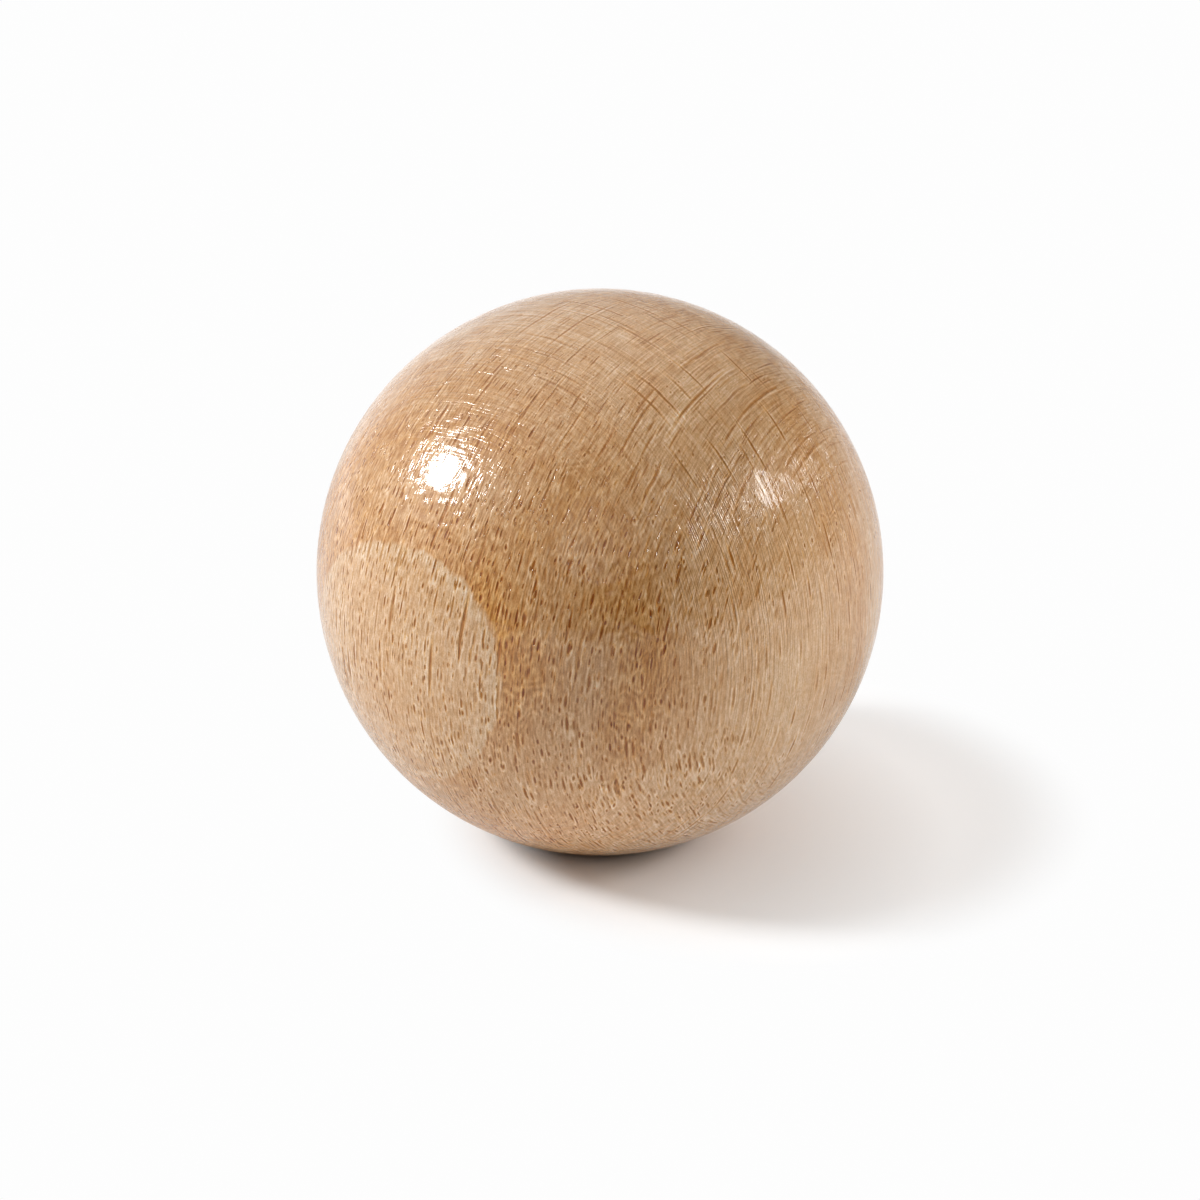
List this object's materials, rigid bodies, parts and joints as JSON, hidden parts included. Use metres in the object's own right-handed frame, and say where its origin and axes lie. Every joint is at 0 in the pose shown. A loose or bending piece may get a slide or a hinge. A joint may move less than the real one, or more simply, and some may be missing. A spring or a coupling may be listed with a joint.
{
  "type": "wooden cabinet knob",
  "caption": "Turned hardwood ball knob on a small flat, clear lacquered, with a pressed-in threaded metal insert for a machine screw from behind.",
  "frame": {"origin": "centre of the turned flat, on the knob's axis, in the plane where the wood meets the door", "axes": "+Z out of the door along the knob's axis; the ball is round about Z, and +Y points away from the viewer"},
  "size_m": [0.035, 0.035, 0.0339],
  "materials": {
    "lacquered_hardwood": "pale straight-grained hardwood with fine dark ray flecks, under clear gloss lacquer",
    "insert_brass": "machined brass, bright, with fine turning marks"
  },
  "bodies": {
    "root": {"knob_ball": "lacquered_hardwood", "threaded_insert": "insert_brass"}
  },
  "joints": []
}
